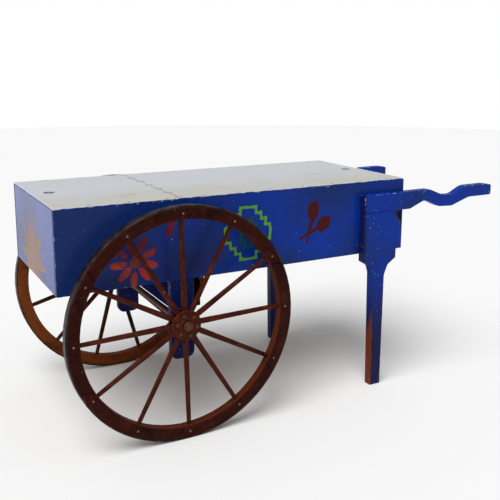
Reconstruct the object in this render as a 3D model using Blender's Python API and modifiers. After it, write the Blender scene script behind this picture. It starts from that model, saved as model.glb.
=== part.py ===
"""Two-wheeled garden cart: a closed plywood box on an axle with two wooden spoked wheels.

Units are metres. X runs from the front end of the box to the handles, Y across, Z up.
The cart stands level on its two wheels and two legs. The origin is on the ground under
the middle of its outline. "Left" and "right" are those of a person at the handles.
"""
import math

import bmesh
import bpy
from mathutils import Matrix, Vector

# ---------------------------------------------------------------- general
CLEARANCE = 0.0003            # gap between pieces that touch
EDGE_BEVEL = 0.002            # softened edge of sawn boards

# ---------------------------------------------------------------- box
BOX_LENGTH = 1.565
BOX_WIDTH = 0.667
BOX_HEIGHT = 0.3225           # side panels and deck together
PANEL_THICKNESS = 0.018
FLOOR_THICKNESS = 0.012
DECK_THICKNESS = 0.006
DECK_FRONT_LENGTH = 0.483     # from the front end to the seam between the two deck panels
DECK_REAR_SETBACK = 0.008     # the deck stops short of the box's rear face
BATTEN_WIDTH = 0.070          # cross batten that carries the deck seam
BATTEN_DEPTH = 0.020

# ---------------------------------------------------------------- canopy post sockets
POST_HOLE_DIAMETER = 0.045
POST_INSET = 0.072            # from each end of the box to the middle of the hole
POST_OFFSET_Y = 0.010
SOCKET_WALL = 0.004

# ---------------------------------------------------------------- wheels
WHEEL_RADIUS = 0.462         # over the tyre
TYRE_THICKNESS = 0.005
TYRE_WIDTH = 0.0355
RIM_DEPTH = 0.048             # radial height of the wooden rim
RIM_WIDTH = 0.0375
WHEEL_TRACK = 0.8215          # between the middle planes of the two wheels
SPOKE_COUNT = 12
FELLOE_COUNT = 6
SPOKE_HUB_DIAMETER = 0.0225
SPOKE_WAIST_DIAMETER = 0.0205
SPOKE_RIM_DIAMETER = 0.0175
TENON_DIAMETER = 0.012
TENON_LENGTH = 0.018
TENON_SIDES = 12               # flats round a spoke, its tenon and the hole for it
SPOKE_PHASE_LEFT = -1.5       # degrees between one spoke and the vertical
SPOKE_PHASE_RIGHT = 15.0
RIM_STEPS = 12                # facets along one felloe
RIM_BEVEL = 0.003
JOINT_OFFSET = 5.0            # degrees from a spoke to the next joint between felloes
JOINT_SLANT = 1.5             # degrees that each end of a sloping joint is turned by

# ---------------------------------------------------------------- hub and axle
AXLE_DIAMETER = 0.025
AXLE_X = 0.4604               # from the front end of the box
HUB_CORE_RADIUS = 0.047
HUB_FLANGE_RADIUS = 0.0595
HUB_FLANGE_THICKNESS = 0.010
HUB_BOSS_RADIUS = 0.030
HUB_BOSS_LENGTH = 0.005
HUB_BORE_CLEARANCE = 0.0003
NUT_ACROSS_CORNERS = 0.040
NUT_THICKNESS = 0.010
AXLE_STUB = 0.006             # thread left standing out of the nut

# ---------------------------------------------------------------- undercarriage
AXLE_TO_BOX = 0.151           # from the axle's middle up to the box's underside
HANGER_WIDTH = 0.098
HANGER_FRONT = 0.0245         # from the axle's middle forward to the hanger's front edge
HANGER_THICKNESS = 0.030
HANGER_DROP = 0.170           # from the axle's middle down to the hanger's tip
HANGER_CORNER = 0.028
BOLSTER_WIDTH = 0.123
BOLSTER_HEIGHT = 0.125
BOLSTER_FRONT = 0.0085        # from the axle's middle forward to the bolster's front face

# ---------------------------------------------------------------- handles and legs
HANDLE_THICKNESS = 0.038
HANDLE_DEPTH = 0.079          # height of the straight part
HANDLE_BELOW_TOP = 0.0575     # from the deck's top down to the handle's top edge
HANDLE_OVERLAP_LEFT = 0.240   # length fastened along the side of the box
HANDLE_OVERLAP_RIGHT = 0.348  # the right handle, with its leg, is set further forward
HANDLE_REACH_LEFT = 0.502     # length beyond the rear end of the box
HANDLE_REACH_RIGHT = 0.436
GRIP_DEPTH = 0.054
LEG_BRACKET_WIDTH = 0.206
LEG_BRACKET_HEIGHT = 0.172    # from the handle down to the step on the rear edge
LEG_WIDTH = 0.068

# ---------------------------------------------------------------- derived places
AXLE_Z = WHEEL_RADIUS
BOX_BOTTOM = AXLE_Z + AXLE_TO_BOX
BOX_TOP = BOX_BOTTOM + BOX_HEIGHT
SIDE_TOP = BOX_TOP - DECK_THICKNESS - CLEARANCE
SIDE_HEIGHT = SIDE_TOP - BOX_BOTTOM
HALF_WIDTH = BOX_WIDTH / 2
INNER_HALF_WIDTH = HALF_WIDTH - PANEL_THICKNESS - CLEARANCE
HALF_TRACK = WHEEL_TRACK / 2
RIM_OUTER = WHEEL_RADIUS - TYRE_THICKNESS - CLEARANCE
RIM_INNER = RIM_OUTER - RIM_DEPTH
HUB_GROOVE_HALF = SPOKE_HUB_DIAMETER / 2 + CLEARANCE
HUB_FACE = HUB_GROOVE_HALF + HUB_FLANGE_THICKNESS
BOSS_FACE = HUB_FACE + HUB_BOSS_LENGTH
HUB_BACK = HALF_TRACK - HALF_WIDTH - CLEARANCE
NUT_FACE = BOSS_FACE + CLEARANCE + NUT_THICKNESS
AXLE_HALF_LENGTH = HALF_TRACK + NUT_FACE + AXLE_STUB
HANDLE_TOP = BOX_TOP - HANDLE_BELOW_TOP
HANDLE_BOTTOM = HANDLE_TOP - HANDLE_DEPTH
FRONT_END = min(0.0, AXLE_X - WHEEL_RADIUS)
REAR_END = BOX_LENGTH + max(HANDLE_REACH_LEFT, HANDLE_REACH_RIGHT)
SOCKET_RADIUS = POST_HOLE_DIAMETER / 2 + SOCKET_WALL

# ---------------------------------------------------------------- paints and materials
FINISHES = {
    "blue_paint": ((0.012, 0.035, 0.240), 0.35, 0.0),
    "pale_deck": ((0.560, 0.570, 0.580), 0.50, 0.0),
    "bare_wood": ((0.420, 0.290, 0.160), 0.70, 0.0),
    "brown_paint": ((0.060, 0.018, 0.010), 0.40, 0.0),
    "iron_tyre": ((0.060, 0.065, 0.070), 0.55, 1.0),
    "dark_steel": ((0.050, 0.035, 0.030), 0.45, 1.0),
}


def clear_scene():
    for obj in list(bpy.data.objects):
        bpy.data.objects.remove(obj, do_unlink=True)


def new_collection(name):
    collection = bpy.data.collections.new(name)
    bpy.context.scene.collection.children.link(collection)
    return collection


def make_material(name):
    colour, roughness, metallic = FINISHES[name]
    material = bpy.data.materials.new(name)
    material.use_nodes = True
    shader = material.node_tree.nodes["Principled BSDF"]
    shader.inputs["Base Color"].default_value = (*colour, 1.0)
    shader.inputs["Roughness"].default_value = roughness
    shader.inputs["Metallic"].default_value = metallic
    return material


def place(obj, parent, collection, material=None):
    """Move an object to its collection, hang it on its parent and give it its finish."""
    for other in list(obj.users_collection):
        other.objects.unlink(obj)
    collection.objects.link(obj)
    obj.parent = parent
    if material is not None:
        obj.data.materials.clear()
        obj.data.materials.append(MATERIALS[material])
    return obj


def new_empty(name, location, parent=None, rotation=(0.0, 0.0, 0.0)):
    empty = bpy.data.objects.new(name, None)
    empty.location = location
    empty.rotation_euler = rotation
    empty.parent = parent
    PARTS.objects.link(empty)
    return empty


def soften(obj, width=EDGE_BEVEL, segments=1):
    bevel = obj.modifiers.new("soft_edges", "BEVEL")
    bevel.width = width
    bevel.segments = segments
    bevel.limit_method = "ANGLE"
    bevel.angle_limit = math.radians(40)


def board(name, size, centre, material, parent, bevel=EDGE_BEVEL):
    """A rectangular board: a cube scaled to size, with softened edges."""
    bpy.ops.mesh.primitive_cube_add(size=1.0)
    obj = bpy.context.object
    obj.name = name
    obj.scale = size
    bpy.ops.object.transform_apply(location=False, rotation=False, scale=True)
    obj.location = centre
    soften(obj, bevel)
    return place(obj, parent, PARTS, material)


def cut_round_hole(obj, name, radius, length, location, rotation, parent, facets=24):
    """Cut a round hole with a cylinder kept among the cutters."""
    bpy.ops.mesh.primitive_cylinder_add(vertices=facets, radius=radius, depth=length)
    cutter = bpy.context.object
    cutter.name = name
    cutter.location = location
    cutter.rotation_euler = rotation
    cutter.hide_render = True
    cutter.display_type = "WIRE"
    place(cutter, parent, CUTTERS)
    boolean = obj.modifiers.new(name, "BOOLEAN")
    boolean.operation = "DIFFERENCE"
    boolean.solver = "EXACT"
    boolean.object = cutter
    return cutter


def fillet(before, corner, after, radius, steps=4):
    """Points of an arc that rounds one corner; the radius is limited by the two edges."""
    to_before = (before - corner)
    to_after = (after - corner)
    half_angle = to_before.angle(to_after) / 2
    reach = radius / math.tan(half_angle)
    limit = 0.48 * min(to_before.length, to_after.length)
    if reach > limit:
        reach = limit
        radius = reach * math.tan(half_angle)
    start = corner + to_before.normalized() * reach
    end = corner + to_after.normalized() * reach
    centre = corner + (to_before.normalized() + to_after.normalized()).normalized() * (
        radius / math.sin(half_angle))
    first = start - centre
    sweep = first.angle_signed(end - centre)
    points = []
    for step in range(steps + 1):
        angle = -sweep * step / steps
        cosine = math.cos(angle)
        sine = math.sin(angle)
        points.append((centre.x + first.x * cosine - first.y * sine,
                       centre.y + first.x * sine + first.y * cosine))
    return points


def rounded_outline(corners):
    """Turn (x, z, radius) corners into the points of a closed outline with rounded corners."""
    outline = []
    count = len(corners)
    for index, (x, z, radius) in enumerate(corners):
        corner = Vector((x, z))
        if radius <= 0.0:
            outline.append((x, z))
            continue
        before = Vector(corners[index - 1][:2])
        after = Vector(corners[(index + 1) % count][:2])
        outline.extend(fillet(before, corner, after, radius))
    return outline


def mesh_from_outline(name, outline, thickness):
    """A flat board standing in the XZ plane: a filled 2D curve, extruded, then a welded mesh."""
    curve = bpy.data.curves.new(name, "CURVE")
    curve.dimensions = "2D"
    curve.fill_mode = "BOTH"
    curve.extrude = thickness / 2
    spline = curve.splines.new("POLY")
    spline.points.add(len(outline) - 1)
    for point, (x, z) in zip(spline.points, outline):
        point.co = (x, z, 0.0, 1.0)
    spline.use_cyclic_u = True
    drawing = bpy.data.objects.new(name + "_drawing", curve)
    PARTS.objects.link(drawing)
    drawing.rotation_euler = (math.pi / 2, 0.0, 0.0)
    bpy.context.view_layer.update()
    evaluated = drawing.evaluated_get(bpy.context.evaluated_depsgraph_get())
    mesh = bpy.data.meshes.new_from_object(evaluated)
    mesh.transform(drawing.matrix_world)
    bpy.data.objects.remove(drawing, do_unlink=True)
    work = bmesh.new()
    work.from_mesh(mesh)
    bmesh.ops.remove_doubles(work, verts=work.verts, dist=1e-6)
    bmesh.ops.dissolve_limit(work, angle_limit=math.radians(0.5), verts=work.verts, edges=work.edges)
    bmesh.ops.recalc_face_normals(work, faces=work.faces)
    work.to_mesh(mesh)
    work.free()
    mesh.name = name
    return mesh


def shaped_board(name, corners, thickness, centre_y, material, parent):
    """A board sawn to an outline in the XZ plane, its middle plane at centre_y."""
    mesh = mesh_from_outline(name, rounded_outline(corners), thickness)
    obj = bpy.data.objects.new(name, mesh)
    obj.location = (0.0, centre_y, 0.0)
    PARTS.objects.link(obj)
    soften(obj)
    return place(obj, parent, PARTS, material)


def evaluated_mesh(obj, name):
    """The finished mesh of an object with its modifiers, kept as plain data."""
    bpy.context.view_layer.update()
    evaluated = obj.evaluated_get(bpy.context.evaluated_depsgraph_get())
    mesh = bpy.data.meshes.new_from_object(evaluated)
    mesh.name = name
    return mesh


def shade_round(mesh):
    mesh.shade_smooth()
    mesh.set_sharp_from_angle(angle=math.radians(35))


def turned_mesh(name, profile, steps, closed):
    """Turn a profile of (radius, height) points about Z with a Screw modifier."""
    mesh = bpy.data.meshes.new(name + "_profile")
    edges = [(index, index + 1) for index in range(len(profile) - 1)]
    if closed:
        edges.append((len(profile) - 1, 0))
    mesh.from_pydata([(radius, 0.0, height) for radius, height in profile], edges, [])
    obj = bpy.data.objects.new(name + "_profile", mesh)
    PARTS.objects.link(obj)
    screw = obj.modifiers.new("turn", "SCREW")
    screw.axis = "Z"
    screw.steps = steps
    screw.render_steps = steps
    screw.use_merge_vertices = True
    screw.merge_threshold = 1e-5
    turned = evaluated_mesh(obj, name)
    bpy.data.objects.remove(obj, do_unlink=True)
    shade_round(turned)
    return turned


def add_mesh_object(name, mesh, location, rotation, material, parent):
    obj = bpy.data.objects.new(name, mesh)
    obj.location = location
    obj.rotation_euler = rotation
    PARTS.objects.link(obj)
    return place(obj, parent, PARTS, material)


# ---------------------------------------------------------------- the box
def build_side_panel(side, sign, cart):
    centre = (BOX_LENGTH / 2, sign * (HALF_WIDTH - PANEL_THICKNESS / 2), BOX_BOTTOM + SIDE_HEIGHT / 2)
    size = (BOX_LENGTH, PANEL_THICKNESS, SIDE_HEIGHT)
    board("side_panel_" + side, size, centre, "blue_paint", cart)


def build_end_panel(end, x, cart):
    size = (PANEL_THICKNESS, 2 * INNER_HALF_WIDTH, SIDE_HEIGHT)
    board("end_panel_" + end, size, (x, 0.0, BOX_BOTTOM + SIDE_HEIGHT / 2), "blue_paint", cart)


def build_floor(cart):
    length = BOX_LENGTH - 2 * (PANEL_THICKNESS + CLEARANCE)
    size = (length, 2 * INNER_HALF_WIDTH, FLOOR_THICKNESS)
    centre = (BOX_LENGTH / 2, 0.0, BOX_BOTTOM + FLOOR_THICKNESS / 2)
    board("floor_panel", size, centre, "blue_paint", cart)


def build_deck_panel(end, start, stop, post_x, cart):
    size = (stop - start, BOX_WIDTH, DECK_THICKNESS)
    centre = ((start + stop) / 2, 0.0, BOX_TOP - DECK_THICKNESS / 2)
    panel = board("deck_panel_" + end, size, centre, "pale_deck", cart, bevel=0.0008)
    cut_round_hole(panel, "post_hole_" + end, POST_HOLE_DIAMETER / 2, 4 * DECK_THICKNESS,
                   (post_x, POST_OFFSET_Y, centre[2]), (0.0, 0.0, 0.0), cart, 32)


def build_deck(cart):
    seam = DECK_FRONT_LENGTH
    build_deck_panel("front", 0.0, seam - CLEARANCE / 2, POST_INSET, cart)
    build_deck_panel("rear", seam + CLEARANCE / 2, BOX_LENGTH - DECK_REAR_SETBACK,
                     BOX_LENGTH - POST_INSET, cart)
    size = (BATTEN_WIDTH, 2 * INNER_HALF_WIDTH, BATTEN_DEPTH)
    board("deck_batten", size, (seam, 0.0, SIDE_TOP - BATTEN_DEPTH / 2), "bare_wood", cart)


def build_post_socket(end, post_x, cart):
    """A tube from the floor to the deck that steadies the foot of a canopy post."""
    bore = POST_HOLE_DIAMETER / 2
    low = BOX_BOTTOM + FLOOR_THICKNESS + CLEARANCE
    height = SIDE_TOP - low
    profile = [(SOCKET_RADIUS, height), (SOCKET_RADIUS, 0.0), (bore, 0.0), (bore, height)]
    mesh = turned_mesh("post_socket_" + end, profile, 32, True)
    add_mesh_object("post_socket_" + end, mesh, (post_x, POST_OFFSET_Y, low), (0.0, 0.0, 0.0),
                    "dark_steel", cart)


def build_box(cart):
    build_side_panel("left", -1, cart)
    build_side_panel("right", 1, cart)
    build_end_panel("front", PANEL_THICKNESS / 2, cart)
    build_end_panel("rear", BOX_LENGTH - PANEL_THICKNESS / 2, cart)
    build_floor(cart)
    build_deck(cart)
    build_post_socket("front", POST_INSET, cart)
    build_post_socket("rear", BOX_LENGTH - POST_INSET, cart)


# ---------------------------------------------------------------- undercarriage
def build_hanger(side, sign, cart):
    """The board under the side of the box that the axle passes through."""
    front = AXLE_X - HANGER_FRONT
    rear = front + HANGER_WIDTH
    top = BOX_BOTTOM - CLEARANCE
    bottom = AXLE_Z - HANGER_DROP
    corners = [(front, top, 0.0), (front, bottom, HANGER_CORNER),
               (rear, bottom, HANGER_CORNER), (rear, top, 0.0)]
    centre_y = sign * (HALF_WIDTH - HANGER_THICKNESS / 2)
    hanger = shaped_board("axle_hanger_" + side, corners, HANGER_THICKNESS, centre_y, "blue_paint", cart)
    cut_round_hole(hanger, "axle_hole_" + side, AXLE_DIAMETER / 2 + CLEARANCE, 2 * HANGER_THICKNESS,
                   (AXLE_X, centre_y, AXLE_Z), (math.pi / 2, 0.0, 0.0), cart)


def build_bolster(cart):
    """The beam under the floor that ties the two hangers together."""
    front = AXLE_X - BOLSTER_FRONT
    length = 2 * (HALF_WIDTH - HANGER_THICKNESS - CLEARANCE)
    size = (BOLSTER_WIDTH, length, BOLSTER_HEIGHT)
    centre = (front + BOLSTER_WIDTH / 2, 0.0, BOX_BOTTOM - CLEARANCE - BOLSTER_HEIGHT / 2)
    board("bolster_beam", size, centre, "blue_paint", cart)


def build_axle(cart):
    radius = AXLE_DIAMETER / 2
    chamfer = radius * 0.12
    half = AXLE_HALF_LENGTH
    profile = [(0.0, half), (radius - chamfer, half), (radius, half - chamfer),
               (radius, chamfer - half), (radius - chamfer, -half), (0.0, -half)]
    mesh = turned_mesh("axle", profile, 24, False)
    add_mesh_object("axle", mesh, (AXLE_X, 0.0, AXLE_Z), (math.pi / 2, 0.0, 0.0), "dark_steel", cart)


def build_axle_nut(side, sign, cart):
    bpy.ops.mesh.primitive_cylinder_add(vertices=6, radius=NUT_ACROSS_CORNERS / 2, depth=NUT_THICKNESS)
    nut = bpy.context.object
    nut.name = "axle_nut_" + side
    nut.location = (AXLE_X, sign * (HALF_TRACK + BOSS_FACE + CLEARANCE + NUT_THICKNESS / 2), AXLE_Z)
    nut.rotation_euler = (math.pi / 2, 0.0, 0.0)
    soften(nut, 0.0012)
    place(nut, cart, PARTS, "dark_steel")
    cut_round_hole(nut, "nut_hole_" + side, AXLE_DIAMETER / 2 + CLEARANCE, 2 * NUT_THICKNESS,
                   nut.location, nut.rotation_euler, cart)


# ---------------------------------------------------------------- wheels
def hub_profile():
    """Hub section as (radius, outward distance): flanges either side of a groove for the spokes."""
    bore = AXLE_DIAMETER / 2 + HUB_BORE_CLEARANCE
    flange = HUB_FLANGE_RADIUS
    lip = HUB_FLANGE_THICKNESS * 0.35
    return [
        (HUB_BOSS_RADIUS - lip, BOSS_FACE), (HUB_BOSS_RADIUS, BOSS_FACE - lip),
        (HUB_BOSS_RADIUS + lip, HUB_FACE + 0.001), (flange - 2 * lip, HUB_FACE - 0.001),
        (flange, HUB_FACE - lip - 0.001), (flange, HUB_GROOVE_HALF), (HUB_CORE_RADIUS, HUB_GROOVE_HALF),
        (HUB_CORE_RADIUS, -HUB_GROOVE_HALF), (flange, -HUB_GROOVE_HALF), (flange, lip - HUB_FACE),
        (flange - lip, -HUB_FACE), (HUB_BOSS_RADIUS + lip, -HUB_FACE - lip),
        (HUB_BOSS_RADIUS, -HUB_BACK + lip), (HUB_BOSS_RADIUS - lip, -HUB_BACK),
        (bore, -HUB_BACK), (bore, BOSS_FACE),
    ]


def spoke_profile(length):
    """Spoke section from its rim end down: tenon, shoulder, slender part, thicker hub end."""
    rim = SPOKE_RIM_DIAMETER / 2
    waist = SPOKE_WAIST_DIAMETER / 2
    foot = SPOKE_HUB_DIAMETER / 2
    tenon = TENON_DIAMETER / 2
    return [
        (0.0, length + TENON_LENGTH), (tenon, length + TENON_LENGTH), (tenon, length),
        (rim * 0.94, length), (rim, length - 0.012), (waist, length * 0.35),
        (foot, length * 0.12), (foot, 0.0), (0.0, 0.0),
    ]


def felloe_arc(radius, turn):
    """Points along one edge of a felloe, on the corners of the many-sided rim circle.

    The two ends lie on its flats, turned by the slope of the joint.
    """
    facet = 360.0 / (FELLOE_COUNT * RIM_STEPS)
    gap = math.degrees(CLEARANCE / RIM_INNER) / 2
    start = JOINT_OFFSET + turn + gap
    stop = JOINT_OFFSET + turn + 360.0 / FELLOE_COUNT - gap
    flat = radius * math.cos(math.radians(facet / 2))
    stations = [(start, flat)]
    for index in range(math.ceil(start / facet), math.floor(stop / facet) + 1):
        stations.append((index * facet, radius))
    stations.append((stop, flat))
    return [(reach * math.sin(math.radians(angle)), reach * math.cos(math.radians(angle)))
            for angle, reach in stations]


def spoke_rotation(angle):
    """Rotation of a spoke and its tenon hole: out from the hub at that angle, and half a side
    about its own length, so that no corner of either meets a crease of the many-sided rim.
    """
    half_side = math.pi / TENON_SIDES
    return (Matrix.Rotation(angle, 4, "Y") @ Matrix.Rotation(half_side, 4, "Z")).to_euler()


def felloe_mesh():
    """One felloe of the rim with sloping ends, drilled for its spokes' tenons.

    It is drawn past the spoke at +Z, so it holds the spokes that follow that one.
    """
    outline = felloe_arc(RIM_OUTER, JOINT_SLANT) + felloe_arc(RIM_INNER, -JOINT_SLANT)[::-1]
    mesh = mesh_from_outline("felloe_blank", outline, RIM_WIDTH)
    blank = bpy.data.objects.new("felloe_blank", mesh)
    PARTS.objects.link(blank)
    soften(blank, RIM_BEVEL)
    mouth = 0.005
    depth = TENON_LENGTH + 2 * CLEARANCE + mouth
    middle = RIM_INNER - mouth + depth / 2
    cutters = []
    for index in range(SPOKE_COUNT // FELLOE_COUNT):
        angle = 2 * math.pi * (index + 1) / SPOKE_COUNT
        location = (middle * math.sin(angle), 0.0, middle * math.cos(angle))
        cutters.append(cut_round_hole(blank, f"tenon_hole_{index + 1}", TENON_DIAMETER / 2 + CLEARANCE,
                                      depth, location, spoke_rotation(angle), None, TENON_SIDES))
    drilled = evaluated_mesh(blank, "felloe")
    for obj in [blank, *cutters]:
        bpy.data.objects.remove(obj, do_unlink=True)
    shade_round(drilled)
    return drilled


def tyre_mesh():
    inner = WHEEL_RADIUS - TYRE_THICKNESS
    half = TYRE_WIDTH / 2
    edge = TYRE_THICKNESS * 0.3
    profile = [
        (WHEEL_RADIUS - edge, half), (WHEEL_RADIUS, half - edge), (WHEEL_RADIUS, edge - half),
        (WHEEL_RADIUS - edge, -half), (inner, -half), (inner, half),
    ]
    return turned_mesh("tyre", profile, RIM_STEPS * FELLOE_COUNT, True)


def build_wheel(side, sign, phase, meshes, cart):
    """Hub, spokes, felloes and tyre on an empty that stands on the wheel's axis."""
    turn = 0.0 if sign < 0 else math.pi
    axis = new_empty(f"wheel_{side}_axis", (AXLE_X, sign * HALF_TRACK, AXLE_Z), cart,
                     (0.0, math.radians(phase), turn))
    centre = (0.0, 0.0, 0.0)
    outward = (math.pi / 2, 0.0, 0.0)
    add_mesh_object("hub_" + side, meshes["hub"], centre, outward, "brown_paint", axis)
    add_mesh_object("tyre_" + side, meshes["tyre"], centre, outward, "iron_tyre", axis)
    foot = HUB_CORE_RADIUS + CLEARANCE
    for index in range(SPOKE_COUNT):
        angle = 2 * math.pi * index / SPOKE_COUNT
        location = (foot * math.sin(angle), 0.0, foot * math.cos(angle))
        add_mesh_object(f"spoke_{side}_{index + 1:02d}", meshes["spoke"], location,
                        spoke_rotation(angle), "brown_paint", axis)
    for index in range(FELLOE_COUNT):
        angle = 2 * math.pi * index / FELLOE_COUNT
        add_mesh_object(f"felloe_{side}_{index + 1}", meshes["felloe"], centre, (0.0, angle, 0.0),
                        "brown_paint", axis)


def build_wheels(cart):
    rim_flat = RIM_INNER * math.cos(math.pi / (RIM_STEPS * FELLOE_COUNT))
    spoke_length = rim_flat - HUB_CORE_RADIUS - 3 * CLEARANCE
    meshes = {
        "hub": turned_mesh("hub", hub_profile(), 36, True),
        "tyre": tyre_mesh(),
        "spoke": turned_mesh("spoke", spoke_profile(spoke_length), TENON_SIDES, False),
        "felloe": felloe_mesh(),
    }
    build_wheel("left", -1, SPOKE_PHASE_LEFT, meshes, cart)
    build_wheel("right", 1, SPOKE_PHASE_RIGHT, meshes, cart)


# ---------------------------------------------------------------- handles and legs
def handle_corners(start, tip):
    """Outline of a handle: straight board, a dip behind the box, then the raised grip.

    Heights hang from the handle's top edge, and the dip and the grip are set out from the tip.
    """
    top = HANDLE_TOP
    bottom = HANDLE_BOTTOM
    return [
        (start, top, 0.004), (tip - 0.380, top, 0.05), (tip - 0.297, top - 0.033, 0.08),
        (tip - 0.240, top - 0.035, 0.06), (tip - 0.172, top - 0.001, 0.08), (tip - 0.040, top, 0.05),
        (tip, top - 0.006, 0.009), (tip, top - GRIP_DEPTH, 0.010),
        (tip - 0.140, top - GRIP_DEPTH, 0.08), (tip - 0.244, top - 0.087, 0.06),
        (tip - 0.324, top - 0.083, 0.06), (tip - 0.407, top - 0.046, 0.04),
        (tip - 0.490, bottom, 0.02), (start, bottom, 0.004),
    ]


def leg_corners(start):
    """Outline of a leg: a wide bracket under the handle, stepped and curved in to a slim leg."""
    top = HANDLE_BOTTOM - CLEARANCE
    rear = start + LEG_BRACKET_WIDTH
    step = top - LEG_BRACKET_HEIGHT
    leg_front = start + 0.049
    leg_rear = leg_front + LEG_WIDTH
    return [
        (start, top, 0.0), (rear - 0.048, top, 0.004), (rear - 0.012, top - 0.048, 0.02),
        (rear, step, 0.010), (rear - 0.028, step - 0.002, 0.0), (rear - 0.028, step - 0.042, 0.010),
        (leg_rear + 0.018, step - 0.070, 0.03), (leg_rear, step - 0.115, 0.03),
        (leg_rear - 0.004, 0.0, 0.0), (leg_front + 0.008, 0.0, 0.0), (leg_front, step - 0.100, 0.02),
        (leg_front - 0.010, step - 0.068, 0.02), (start, step - 0.044, 0.008),
    ]


def build_handle_and_leg(side, sign, overlap, reach, cart):
    start = BOX_LENGTH - overlap
    tip = BOX_LENGTH + reach
    centre_y = sign * (HALF_WIDTH + CLEARANCE + HANDLE_THICKNESS / 2)
    shaped_board("handle_" + side, handle_corners(start, tip), HANDLE_THICKNESS, centre_y,
                 "blue_paint", cart)
    shaped_board("leg_" + side, leg_corners(start), HANDLE_THICKNESS, centre_y, "blue_paint", cart)


def build_cart():
    cart = new_empty("cart_frame", (-(FRONT_END + REAR_END) / 2, 0.0, 0.0))
    build_box(cart)
    build_bolster(cart)
    build_axle(cart)
    for side, sign in (("left", -1), ("right", 1)):
        build_hanger(side, sign, cart)
        build_axle_nut(side, sign, cart)
    build_handle_and_leg("left", -1, HANDLE_OVERLAP_LEFT, HANDLE_REACH_LEFT, cart)
    build_handle_and_leg("right", 1, HANDLE_OVERLAP_RIGHT, HANDLE_REACH_RIGHT, cart)
    build_wheels(cart)


clear_scene()
PARTS = new_collection("garden_cart")
CUTTERS = new_collection("cutters")
MATERIALS = {name: make_material(name) for name in FINISHES}
build_cart()
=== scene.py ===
"""Garden cart: finishes, painted marks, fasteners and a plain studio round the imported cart."""

import math

import bpy
import numpy as np
from bpy.props import FloatProperty, FloatVectorProperty, IntProperty, PointerProperty
from mathutils import Matrix, Vector


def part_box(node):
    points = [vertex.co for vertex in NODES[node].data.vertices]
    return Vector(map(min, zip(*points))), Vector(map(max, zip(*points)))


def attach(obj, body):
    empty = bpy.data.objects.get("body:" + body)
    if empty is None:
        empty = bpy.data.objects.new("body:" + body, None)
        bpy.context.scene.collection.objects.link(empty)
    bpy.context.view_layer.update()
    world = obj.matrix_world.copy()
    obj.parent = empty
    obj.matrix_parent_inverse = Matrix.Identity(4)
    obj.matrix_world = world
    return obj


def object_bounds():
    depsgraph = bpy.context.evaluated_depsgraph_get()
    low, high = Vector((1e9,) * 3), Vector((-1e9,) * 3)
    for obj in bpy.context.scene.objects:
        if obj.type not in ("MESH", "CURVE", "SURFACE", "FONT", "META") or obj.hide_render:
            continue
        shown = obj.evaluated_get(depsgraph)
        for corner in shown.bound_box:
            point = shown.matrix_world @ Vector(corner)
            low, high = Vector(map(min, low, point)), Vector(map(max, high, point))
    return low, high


bl_info = {
    "name": "Garden cart",
    "version": (1, 0, 0),
    "blender": (4, 5, 0),
    "location": "3D View > Sidebar > Garden cart",
    "description": "Paints, fastens and lights a wooden garden cart",
    "category": "Object",
}

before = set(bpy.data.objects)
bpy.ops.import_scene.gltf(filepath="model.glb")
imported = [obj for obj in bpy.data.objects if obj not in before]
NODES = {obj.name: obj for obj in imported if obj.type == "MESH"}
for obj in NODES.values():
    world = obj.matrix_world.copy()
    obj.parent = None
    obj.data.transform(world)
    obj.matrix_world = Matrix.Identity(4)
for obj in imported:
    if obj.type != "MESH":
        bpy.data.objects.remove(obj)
CAD_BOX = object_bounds()

MATH = "ShaderNodeMath"
MIX = "ShaderNodeMix"
NOISE = "ShaderNodeTexNoise"
RANGE = "ShaderNodeMapRange"
MAPPING = "ShaderNodeMapping"
SIDES = (("left", -1.0), ("right", 1.0))
FLAT = 1e4                      # stretches a pattern until it no longer changes along that axis
SPOKES = 12
FELLOES = 6
# radii in metres: inside, middle and outside of the wooden rim, and the hub's disc and boss
RIM_INNER = 0.4087
RIM_MIDDLE = 0.4327
RIM_OUTER = 0.4567
HUB_DISC = 0.0595
HUB_BOSS = 0.030
BOLT_START = 0.30               # angle from the first spoke to the first hub bolt, in radians
BOLT_TWIST = 0.4                # turn of each bolt head from the one before it
# margins of the nail rows: from the ends of a board, from its foot and from its top
NAIL_END = 0.03
NAIL_FOOT = 0.04
NAIL_TOP = 0.025
FLOOR_REACH = 14.0              # radius of the studio floor, and its number of sides
FLOOR_SIDES = 64
KEY_PLACE = (-1.2, -2.4, 4.0)   # where the key light hangs and which way it shines
KEY_DIRECTION = (0.42, 0.30, -0.86)
SENSOR_WIDTH = 36.0             # in millimetres
# places of the painted marks, in metres along and up from the panel's lowest front corner
FLOWER = (0.2965, 0.094)
LOOSE_PETAL = (0.4395, 0.211, 0.040, 0.0145, 69.0)
DIAMOND = (0.774, 0.1535)
STAR = (0.335, 0.062)
WORN_FRONT = 0.0595             # the leg's front edge at the ground, from its bracket's front
WORN_LEAN = 0.0140              # and how far it leans forward for each metre up
# soft patches of painted shade and road grime round the wheel, and one black painted shadow behind
# the bracket: along, up, half length, half width and turn
WHEEL_SHADE_AND_DIRT = ((0.270, 0.150, 0.110, 0.075, 0.0), (0.490, 0.040, 0.170, 0.080, 10.0),
        (0.230, 0.030, 0.090, 0.050, 0.0))
PAINTED_CORNER_SHADOW = ((1.551, 0.147, 0.024, 0.028, 0.0),)
# oval leaves, stems and foot of the sprig: along, up, half length, half width, turn
SPRIG = ((1.0840, 0.2150, 0.043, 0.0290, 82.0), (1.1375, 0.1560, 0.042, 0.0295, 38.0),
         (1.0705, 0.1490, 0.045, 0.0095, 72.0), (1.0955, 0.1350, 0.036, 0.0085, 28.0),
         (1.0375, 0.1110, 0.026, 0.0060, 32.0), (1.0575, 0.0980, 0.026, 0.0065, 80.0))


def linear(code):
    """An sRGB hex colour as linear red, green and blue."""
    parts = [int(code[i:i + 2], 16) / 255 for i in (0, 2, 4)]
    return tuple(c / 12.92 if c <= 0.04045 else ((c + 0.055) / 1.055) ** 2.4 for c in parts)


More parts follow.
